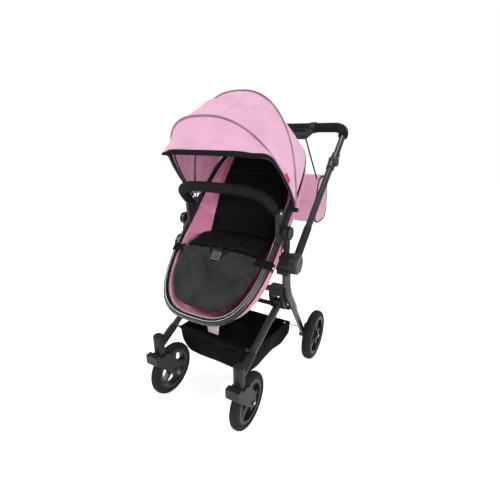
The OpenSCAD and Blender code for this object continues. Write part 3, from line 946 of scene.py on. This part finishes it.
def back_width(t):
    """Half the width of the backrest, from the crease at 0 to the top at 1."""
    return 0.128 + 0.006 * math.sin(math.pi * min(t * 1.2, 1.0)) - 0.022 * max(t - 0.45, 0) / 0.55


def make_back():
    along = Vector((0, math.cos(BACK_ANGLE), math.sin(BACK_ANGLE)))
    normal = Vector((0, -math.sin(BACK_ANGLE), math.cos(BACK_ANGLE)))

    def profile(t):
        half = back_width(t) + LINER_GROW
        middle = Vector((LINER_SHIFT, 0, 0))
        return CREASE + middle + along * (0.002 + BACK_LENGTH * t) + normal * -0.010, normal, half, 0.020

    back = cushion("back_liner_pad", profile, 50, 40, puff=0.006)
    swell(back, 3.0, 0.006)
    for vertex in back.data.vertices:
        local = vertex.co - CREASE
        t = local.dot(along)
        channel = math.exp(-((t - 0.25) / 0.005) ** 2)
        soft = 0.004 * lumps(vertex.co.x * 10, t * 8, 6.0)
        if local.dot(normal) > -0.006:
            vertex.co += normal * (soft - 0.003 * channel * (1 - min(abs(vertex.co.x) / 0.13, 1) ** 6))
    piece(back, "backrest", "liner", ("back_liner",))
    make_wings(along, normal)


def make_wings(along, normal):
    """Loose side panels that join the backrest's edges to the rim of the tub."""
    for side, tag in SIDES:
        rows = []
        for k in range(61):
            t = k / 60
            inner = CREASE + along * (0.01 + 0.36 * t) + normal * -0.004
            inner.x = side * (back_width(t * 0.9) + LINER_GROW - 0.004) + LINER_SHIFT
            u = -0.06 + 0.40 * t
            x = (RING_W - 0.016) * (1 - (max(u, 0) / (RING_HEAD - 0.01)) ** 4) ** 0.25
            outer = seat_point(side * x, u, -0.004)
            row = []
            for i in range(25):
                c = i / 24
                p = inner.lerp(outer, c)
                dip = -0.014 * math.sin(math.pi * c) + 0.005 * lumps(t * 6, c * 3, side * 2)
                dip += 0.005 * math.exp(-((t - 0.16 - 0.22 * c) / 0.035) ** 2) * math.sin(math.pi * c)
                dip -= 0.004 * math.exp(-((t - 0.30 + 0.12 * c) / 0.03) ** 2) * math.sin(math.pi * c)
                row.append(p + OUT * dip)
            rows.append(row)
        wing = thicken(grid("seat_wing_" + tag, rows), 0.003)
        # The wings take the tub's darker pink, painted shade of the seat's sides
        paint(wing, "tub")
        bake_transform(wing)


def strap(name, path, width, thick, across, body, look="web", stands_for=()):
    """A flat strap: width across, thin the other way."""
    path = smooth_path(path, 6)
    across = Vector(across).normalized()
    rows = []
    for i, point in enumerate(path):
        tangent = (path[min(i + 1, len(path) - 1)] - path[max(i - 1, 0)]).normalized()
        side = (across - tangent * across.dot(tangent)).normalized()
        up = tangent.cross(side)
        corners = ((-1, -1), (-0.96, 1), (0.96, 1), (1, -1))
        row = []
        for a, b in corners:
            row.append(point + side * a * width / 2 + up * b * thick / 2)
        rows.append(row)
    obj = grid(name, rows, closed=True, caps=True)
    obj = bevelled(obj, thick * 0.3, 2, 50)
    return piece(obj, body, look, stands_for)


WAIST_LOOP = [   # slack end of a waist strap: (x, u, n)
    (0.07, -0.05, -0.038), (0.06, -0.07, -0.014), (0.066, -0.088, -0.004), (0.078, -0.075, -0.010),
    (0.084, -0.055, -0.030),
]


def make_harness():
    crotch = [seat_point(0, -0.045, -0.05), seat_point(0, -0.075, -0.024), seat_point(0, -0.100, 0.012),
              seat_point(0.004, -0.118, 0.0145)]
    strap("harness_crotch", crotch, 0.024, 0.002, (1, 0, 0), "seat", stands_for=("harness",))
    for side, tag in SIDES:
        waist = [seat_point(side * 0.10, -0.035, -0.050), seat_point(side * 0.085, -0.06, -0.030),
                 seat_point(side * 0.05, -0.092, 0.000), seat_point(side * 0.02, -0.125, 0.016)]
        strap("harness_waist_" + tag, waist, 0.022, 0.002, (0.3 * side, -0.8, 0.4), "seat")
        loop = [seat_point(side * x, u, n) for x, u, n in WAIST_LOOP]
        strap("harness_loop_" + tag, loop, 0.022, 0.002, (0.2 * side, 1, 0.1), "seat")


def make_snap_tabs():
    """Black tabs that wrap the ring and close with a press stud."""
    for side, tag in SIDES:
        u = -0.128
        x = side * (RING_W - 0.002)
        path = [seat_point(x - side * 0.045, u + 0.004, 0.012), seat_point(x - side * 0.022, u, 0.0125),
                seat_point(x, u, 0.0120), seat_point(x + side * 0.012, u, 0.004),
                seat_point(x + side * 0.0125, u, -0.012), seat_point(x + side * 0.006, u, -0.032)]
        strap("snap_tab_" + tag, path, 0.026, 0.0022, UP, "seat", "liner")
        centre = seat_point(x + side * 0.0142, u, -0.010)
        stud = dome("snap_stud_" + tag, centre, (side, 0, 0), 0.0058, 0.0022)
        piece(stud, "seat", "steel")


def dome(name, centre, axis, radius, height, rings=6, sides=24):
    """A low round rivet head."""
    axis = Vector(axis).normalized()
    a = axis.orthogonal().normalized()
    b = axis.cross(a)
    rows = []
    for k in range(rings + 1):
        t = math.pi / 2 * k / rings
        r = radius * math.cos(t) if k < rings else radius * 0.04
        rows.append([centre + axis * height * math.sin(t)
                     + r * (a * math.cos(2 * math.pi * i / sides) + b * math.sin(2 * math.pi * i / sides))
                     for i in range(sides)])
    return grid(name, rows, closed=True, caps=True)


# ---------------------------------------------------------------- bumper


def make_bumper():
    cosine, sine = math.cos(BUMPER_ANGLE), math.sin(BUMPER_ANGLE)
    line = resample(arch(BUMPER_W, BUMPER_REACH, 4, 0.026, 400), 120)
    path = [BUMPER + Vector((p.x, p.y * cosine, p.y * sine)) for p in line]
    grip = tube("bumper_grip", path, GRIP_RADIUS, 28)
    bevelled(grip, 0.003, 3, 60)
    piece(grip, "bumper", "foam", ("bumper_foam",))
    # Sewn seam along the inside of the cover
    inside = BUMPER + Vector((0, 0.06 * cosine, 0.06 * sine))
    seam_path = [p + (inside - p).normalized() * 0.0168 for p in path[4:-4]]
    piece(tube("bumper_seam", seam_path, 0.0011, 8), "bumper", "foam")


# ---------------------------------------------------------------- basket and bag


def make_basket():
    low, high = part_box("basket")
    # Rim corners from the frame's box, drawn as a soft outline: (x, y) of one half, front to back
    front, back = low.y + 0.002, high.y - 0.002
    half_front, half_back = 0.157, high.x + 0.002
    side = [(half_front, front), (half_front + 0.006, front + 0.09), (half_front + 0.012, front + 0.19),
            (half_back, back - 0.03), (half_back, back)]
    right = resample([Vector((x, y, 0)) for x, y in side], 34)
    rear = resample([right[-1], Vector((-right[-1].x, back, 0))], 34)[1:]
    left = [Vector((-p.x, p.y, 0)) for p in reversed(right)][1:]
    fore = resample([left[-1], Vector((half_front, front, 0))], 32)[1:-1]
    outline = right + rear + left + fore
    top_front, top_back, floor_z = high.z - 0.002, high.z - 0.032, low.z + 0.001
    middle = Vector((0, (front + back) / 2 + 0.012, 0))
    rows = []
    levels = 22
    for k in range(levels + 1):
        t = k / levels
        row = []
        for p in outline:
            back_share = (p.y - front) / (back - front)
            rim = top_front + (top_back - top_front) * back_share
            corner = (abs(p.x) / half_back) ** 3
            sag = 0.012 * (1 - corner) * math.sin(math.pi * back_share) ** 2
            sag += 0.016 * (1 - min(abs(p.x) / half_front, 1) ** 4) * (1 - min(back_share * 8, 1))
            z = rim - sag * (1 - t) - (rim - floor_z) * math.sin(t * math.pi / 2) ** 0.9
            shrink = 1 - 0.22 * t ** 1.6
            q = middle + (p - middle) * shrink
            slack = math.sin(math.pi * min(t * 1.05, 1.0))
            folds = lumps(p.x * 13, p.y * 13, t * 2) + 0.5 * math.sin(p.x * 42 + p.y * 31 + 3 * t)
            q = middle + (q - middle) * (1 + 0.034 * slack * folds)
            z += 0.006 * slack * lumps(p.x * 18, p.y * 18, 3 + t * 3)
            row.append(Vector((q.x, q.y, z)))
        rows.append(row)
    for t in (0.82, 0.6, 0.4, 0.2, 0.05):
        base = rows[levels]
        centre = Vector((0, middle.y, 0))
        rows.append([Vector((centre.x + (p.x - centre.x) * t, centre.y + (p.y - centre.y) * t,
                             floor_z + 0.0035 * lumps(p.x * 20 * t, p.y * 20 * t, 4) + 0.002))
                     for p in base])
    basket = grid("basket_cloth_body", rows, closed=True)
    close_end(basket, (len(rows) - 1) * len(outline), len(outline))
    thicken(basket, 0.0018)
    piece(basket, "front_frame", "basket", ("basket",))
    hem = tube("basket_hem", rows[0], 0.0042, 10, closed=True, flat=0.6, across=(0, 0, 1))
    piece(hem, "front_frame", "binding")
    make_basket_straps(high)
    make_basket_sleeve(rows[0], front)


def make_basket_straps(high):
    for side, tag in SIDES:
        corner = Vector((side * (high.x - 0.002), high.y - 0.006, high.z - 0.036))
        leg = Vector((side * 0.2035, KNUCKLE.y + 0.165, 0.190))
        middle = (corner + leg) / 2 + Vector((side * 0.002, 0.004, -0.008))
        loop = tube("basket_loop_" + tag, smooth_path([corner, middle, leg], 8), 0.0016, 8)
        piece(loop, "front_frame", "web")
        centre = corner + Vector((-side * 0.012, -0.012, 0.004))
        stud = dome("basket_stud_" + tag, centre, (0, -0.5, 1), 0.005, 0.002)
        piece(stud, "front_frame", "steel")


def make_basket_sleeve(rim, front):
    """Cloth sleeve that holds the basket's front edge to the cross rod."""
    low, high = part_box("basket_rod")
    y, z, reach = (low.y + high.y) / 2, (low.z + high.z) / 2, high.x - 0.022
    rows = []
    for k in range(49):
        x = reach * (1 - k / 24)
        loose = 0.0080 + 0.0009 * math.sin(k * 1.7) + 0.0008 * math.sin(k * 0.6)
        rows.append([Vector((x, y + loose * math.cos(a), z + loose * math.sin(a)))
                     for a in (2 * math.pi * i / 14 for i in range(14))])
    sleeve = grid("basket_sleeve", rows, closed=True, caps=True)
    piece(sleeve, "front_frame", "basket")
    edge = sorted((p for p in rim if p.y < front + 0.004), key=lambda p: p.x)
    rows = []
    for t in (0.0, 0.2, 0.4, 0.6, 0.8, 1.0):
        row = []
        for p in resample(edge, 60):
            share = p.x / edge[-1].x
            top = Vector((reach * 0.98 * share, y, z - 0.004))
            sag = 0.010 * math.sin(math.pi * t) * (1 + 0.5 * math.sin(share * 9))
            row.append(top.lerp(p + Vector((0, -0.002, 0)), t) - Vector((0, 0, sag)))
        rows.append(row)
    flap = thicken(grid("basket_flap", rows), 0.0016)
    piece(flap, "front_frame", "basket")


def bag_section(x, count, low, high, half, shrink=1.0):
    """A slice of the bag across X: a soft upright outline, narrower at the top, slumped at the bottom."""
    middle = Vector((0, (low.y + high.y) / 2, (low.z + high.z) / 2))
    deep, tall = (high.y - low.y) / 2, (high.z - low.z) / 2
    row = []
    for i in range(count):
        a = 2 * math.pi * i / count
        y = deep * shrink * power(math.cos(a), 3.6)
        z = tall * shrink * power(math.sin(a), 4.2)
        up = z / tall
        y *= 0.92 - 0.13 * up
        full = 1 - (x / half) ** 6
        y += 0.006 * full * math.copysign(1, y) * math.cos(math.pi * up / 2)
        z -= 0.005 * full * (1 if up < -0.6 else 0) * (abs(up) - 0.6) / 0.4
        row.append(Vector((x, middle.y + y, middle.z + z)))
    return row


def bag_corners():
    low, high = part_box("bag")
    return Vector((0, low.y + 0.004, low.z + 0.004)), Vector((0, high.y - 0.004, low.z + 0.212)), 0.158


def make_bag():
    low, high, half = bag_corners()
    rows = []
    stations = 70
    for k in range(stations + 1):
        c = -1 + 2 * k / stations
        if abs(c) > 0.8:     # slices crowd together towards the end panels
            x = half * math.copysign(1 - (1 - abs(c)) ** 1.25, c)
        else:
            x = half * c * (1 - 0.2 ** 1.25) / 0.8
        edge = max(abs(x) - (half - 0.007), 0) / 0.007
        rows.append(bag_section(x, 160, low, high, half, 1 - 0.10 * (1 - math.sqrt(max(1 - edge * edge, 0)))))
    for row in rows:
        for p in row:
            crumple = lumps(p.x * 10, p.y * 12, p.z * 12)
            fine = lumps(p.x * 30, p.y * 26, p.z * 30)
            p.y += 0.0045 * crumple + 0.0012 * fine
            p.z += 0.0015 * fine
    body = grid("bag_body", rows, closed=True, caps=True)
    bag_piece(body, "bag")
    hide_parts("bag")
    make_bag_details(low, high, half)


def bag_piece(obj, look):
    """A part of the bag: it hangs from the handle and has a mesh of its own."""
    paint(obj, look)
    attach(obj, "handle_upper")
    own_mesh(obj)


def pivot_bar():
    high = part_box("foam_grip")[1]
    return Vector((0, high.y - 0.0195, high.z - 0.0195))


def make_bag_details(low, high, half):
    # Flap from the back edge over the top and down the upper half of the front
    section = bag_section(0.0, 400, low, high, half)
    start = max(range(400), key=lambda i: section[i].z - abs(section[i].y - high.y + 0.03) * 2)
    line = [section[(start + i) % 400] for i in range(400)]
    line = line if line[40].y < line[0].y else [section[(start - i) % 400] for i in range(400)]
    reach = next(i for i, p in enumerate(line) if p.z < low.z + 0.098 and p.y < (low.y + high.y) / 2)
    line = resample(line[:reach], 36)
    middle = (low + high) / 2
    rows = []
    for k, p in enumerate(line):
        t = k / (len(line) - 1)
        row = []
        for i in range(61):
            c = -1 + 2 * i / 60
            x = c * (half - 0.004) * (1 - 0.05 * max(t - 0.9, 0) / 0.1)
            out = (p - middle).normalized() * (0.0045 + 0.004 * t * (1 - abs(c) ** 4))
            wave = 0.0022 * lumps(x * 15, t * 4, 5) * (1 - abs(c) ** 8)
            low_edge = 0.008 * abs(c) ** 5 * t
            row.append(Vector((x, p.y + out.y - wave, p.z + out.z + low_edge)))
        rows.append(row)
    flap = thicken(grid("bag_flap", rows), 0.0025)
    bag_piece(flap, "bag")
    # Black piping round each end panel
    for side, tag in SIDES:
        loop = [p + (p - Vector((p.x, middle.y, middle.z))).normalized() * 0.0022
                for p in bag_section(side * (half - 0.004), 120, low, high, half, 0.985)]
        piping = tube("bag_piping_" + tag, loop, 0.0034, 10, closed=True)
        bag_piece(piping, "binding")
        bar = pivot_bar()
        hook = Vector((side * 0.091, bar.y - 0.057 * math.cos(HANDLE_ANGLE),
                       bar.z - 0.062 * math.sin(HANDLE_ANGLE)))
        end = Vector((side * 0.150, low.y + 0.012, high.z - 0.006))
        path = smooth_path([hook, hook.lerp(end, 0.5) + Vector((0, 0.002, -0.004)), end], 8)
        obj = tube("bag_strap_" + tag, path, 0.0034, 10, flat=0.35, across=(0, 1, 0.2))
        bag_piece(obj, "web")


# ---------------------------------------------------------------- fittings


TREAD_BLOCKS, TREAD_DEPTH = 64, 0.0016


def make_tyres():
    """Solid tyres with a shallow tread cut into both shoulders."""
    wheels = (("tyre_fl", "wheel_front_left"), ("tyre_fr", "wheel_front_right"),
              ("tyre_rl", "wheel_rear_left"), ("tyre_rr", "wheel_rear_right"))
    for node, body in wheels:
        low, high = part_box(node)
        centre = (low + high) / 2
        radius, half = (high.z - low.z) / 2, (high.x - low.x) / 2
        inner = radius - (FRONT_TYRE if "front" in body else REAR_TYRE)
        rows = []
        for k in range(TREAD_BLOCKS * 8):
            a = 2 * math.pi * k / (TREAD_BLOCKS * 8)
            row = []
            for x, r in tyre_outline(half, inner, radius):
                depth = 0.0
                if k % 8 < 2 and r > radius - 0.014:
                    depth = TREAD_DEPTH * math.exp(-((abs(x) / half - 0.78) / 0.16) ** 2)
                r -= depth
                row.append(centre + Vector((x * (1 - depth * 20), r * math.cos(a), r * math.sin(a))))
            rows.append(row)
        rows.append(rows[0])
        tyre = weld(grid(node + "_tread", rows, closed=True))
        piece(tyre, body, "tyre", (node,))


def tyre_outline(half, inner, radius, count=26):
    """(x, r) round a tyre's section: crowned tread, rounded shoulders, straight sidewalls."""
    line = [(-half + 0.001, inner), (-half + 0.0004, inner + 0.003), (-half + 0.0014, inner + 0.0042),
            (-half + 0.0002, inner + 0.0056)]
    middle = radius - 0.026
    for k in range(count + 1):
        a = math.pi * (1 - k / count)
        x = half * power(math.cos(a), 2.6)
        r = middle + 0.004 + 0.022 * power(math.sin(a), 2.3)
        if r >= inner + 0.007:
            line.append((x, min(r, radius)))
    return line + [(-x, r) for x, r in reversed(line[:4])]


def make_rivets():
    for side, tag in SIDES:
        caster = "caster_left" if side > 0 else "caster_right"
        for name, body, x, place, radius in (("bumper_rivet", "seat", 0.1932, BUMPER, 0.0062),
                                             ("fork_rivet", caster, 0.2005, FRONT_AXLE, 0.0062),
                                             ("rear_rivet", "chassis", 0.2642, REAR_AXLE, 0.0075)):
            centre = Vector((side * x, place.y, place.z))
            head = dome("%s_%s" % (name, tag), centre, (side, 0, 0), radius, 0.0022)
            piece(head, body, "steel")


# ---------------------------------------------------------------- stage


LAMPS = [   # name, place, size, watts
    ("key", (-1.9, -1.6, 2.6), 0.9, 54), ("fill", (2.4, -1.7, 1.35), 1.6, 52),
    ("top", (0.3, 0.6, 3.2), 1.2, 22), ("back", (0.8, 2.6, 2.6), 1.6, 14),
]


def shown_brighter(tree, lighting, shown, socket):
    """Feeds a socket one strength for the light it sheds and another for what the camera sees."""
    path = tree.nodes.new("ShaderNodeLightPath")
    strength = tree.nodes.new("ShaderNodeMapRange")
    strength.inputs["To Min"].default_value = lighting
    strength.inputs["To Max"].default_value = shown
    tree.links.new(path.outputs["Is Camera Ray"], strength.inputs["Value"])
    tree.links.new(strength.outputs["Result"], socket)


def make_stage():
    bpy.ops.mesh.primitive_plane_add(size=30, location=(0, 0, 0))
    floor = bpy.context.object
    floor.name = "floor"
    s = Shader("floor_paint")
    s.set(Roughness=0.9, Specular_IOR_Level=0.1, Emission_Color=(1, 1, 1, 1))
    shown_brighter(s.material.node_tree, 0.45, 0.76, s.bsdf.inputs["Emission Strength"])
    s.colour(s.noise(2.0, 2.0), [(0.0, (0.74, 0.74, 0.74)), (1.0, (0.77, 0.77, 0.77))])
    floor.data.materials.append(s.material)
    make_world()
    for name, place, size, watts in LAMPS:
        light = bpy.data.lights.new(name, "AREA")
        light.energy = watts
        light.size = size
        obj = bpy.data.objects.new(name, light)
        obj.location = place
        obj.rotation_euler = (Vector((0, 0, 0.5)) - Vector(place)).to_track_quat("-Z", "Y").to_euler()
        bpy.context.scene.collection.objects.link(obj)


def make_world():
    """A white surround that lights the scene less than it shows, so that black cloth stays black."""
    world = bpy.data.worlds.new("studio")
    world.use_nodes = True
    tree = world.node_tree
    background = tree.nodes["Background"]
    background.inputs["Color"].default_value = (1, 1, 1, 1)
    shown_brighter(tree, 0.33, 1.0, background.inputs["Strength"])
    bpy.context.scene.world = world


def make_camera():
    camera = bpy.data.cameras.new("camera")
    camera.sensor_width = 36
    camera.lens = 23.64
    obj = bpy.data.objects.new("camera", camera)
    obj.location = (0.624, -1.1355, 0.961)
    obj.rotation_euler = (math.radians(90 - 19.2), 0, math.radians(29.6))
    bpy.context.scene.collection.objects.link(obj)
    bpy.context.scene.camera = obj
    bpy.context.scene.view_settings.view_transform = "Standard"


# ---------------------------------------------------------------- build

make_camera()
make_stage()
paint_cad()
make_hood()
make_ring()
make_tub()
make_pad()
make_back()
make_harness()
make_snap_tabs()
make_bumper()
make_basket()
make_bag()
make_tyres()
make_rivets()
